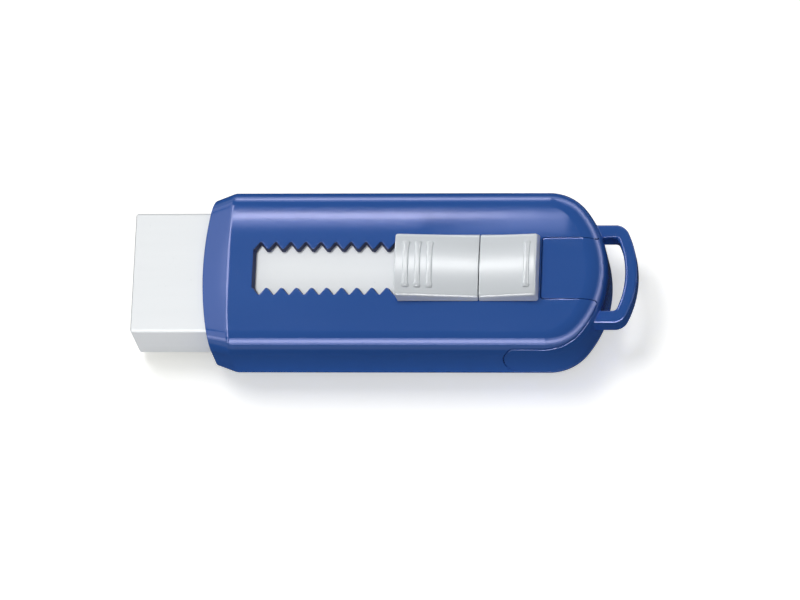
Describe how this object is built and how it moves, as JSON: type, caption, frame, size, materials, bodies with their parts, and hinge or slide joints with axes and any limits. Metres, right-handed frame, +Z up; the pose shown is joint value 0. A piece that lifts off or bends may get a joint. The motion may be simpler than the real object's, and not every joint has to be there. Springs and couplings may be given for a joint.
{
  "type": "sliding sleeve eraser",
  "caption": "White eraser block in a flat blue plastic sleeve, pushed out by a ribbed thumb slider that clicks along a toothed slot, with a lanyard loop on the end cap.",
  "frame": {"origin": "centre of the sleeve's flat underside, midway along the sleeve without the loop and the eraser", "axes": "+X along the sleeve towards the lanyard loop, the eraser end towards -X; +Y across the sleeve; +Z up through the slotted face with the thumb slider"},
  "size_m": [0.0837, 0.0282, 0.0182],
  "materials": {
    "blue_plastic": "gloss",
    "white_plastic": "satin",
    "eraser_vinyl": "matte",
    "spring_steel": "satin"
  },
  "bodies": {
    "sleeve_body": {"sleeve": "blue_plastic", "end_cap": "blue_plastic"},
    "slider": {"carrier": "white_plastic", "front_thumb_pad": "white_plastic", "rear_thumb_pad": "white_plastic", "detent_spring": "spring_steel"},
    "refill": {"eraser_block": "eraser_vinyl"}
  },
  "joints": [
    {"name": "slider_travel", "type": "slide", "parent": "sleeve_body", "child": "slider", "axis": [-1, 0, 0], "range_m": [0, 0.0225], "deforming": ["detent_spring"]},
    {"name": "refill_draw", "type": "slide", "parent": "slider", "child": "refill", "axis": [-1, 0, 0], "range_m": [0, 0.0258]}
  ]
}
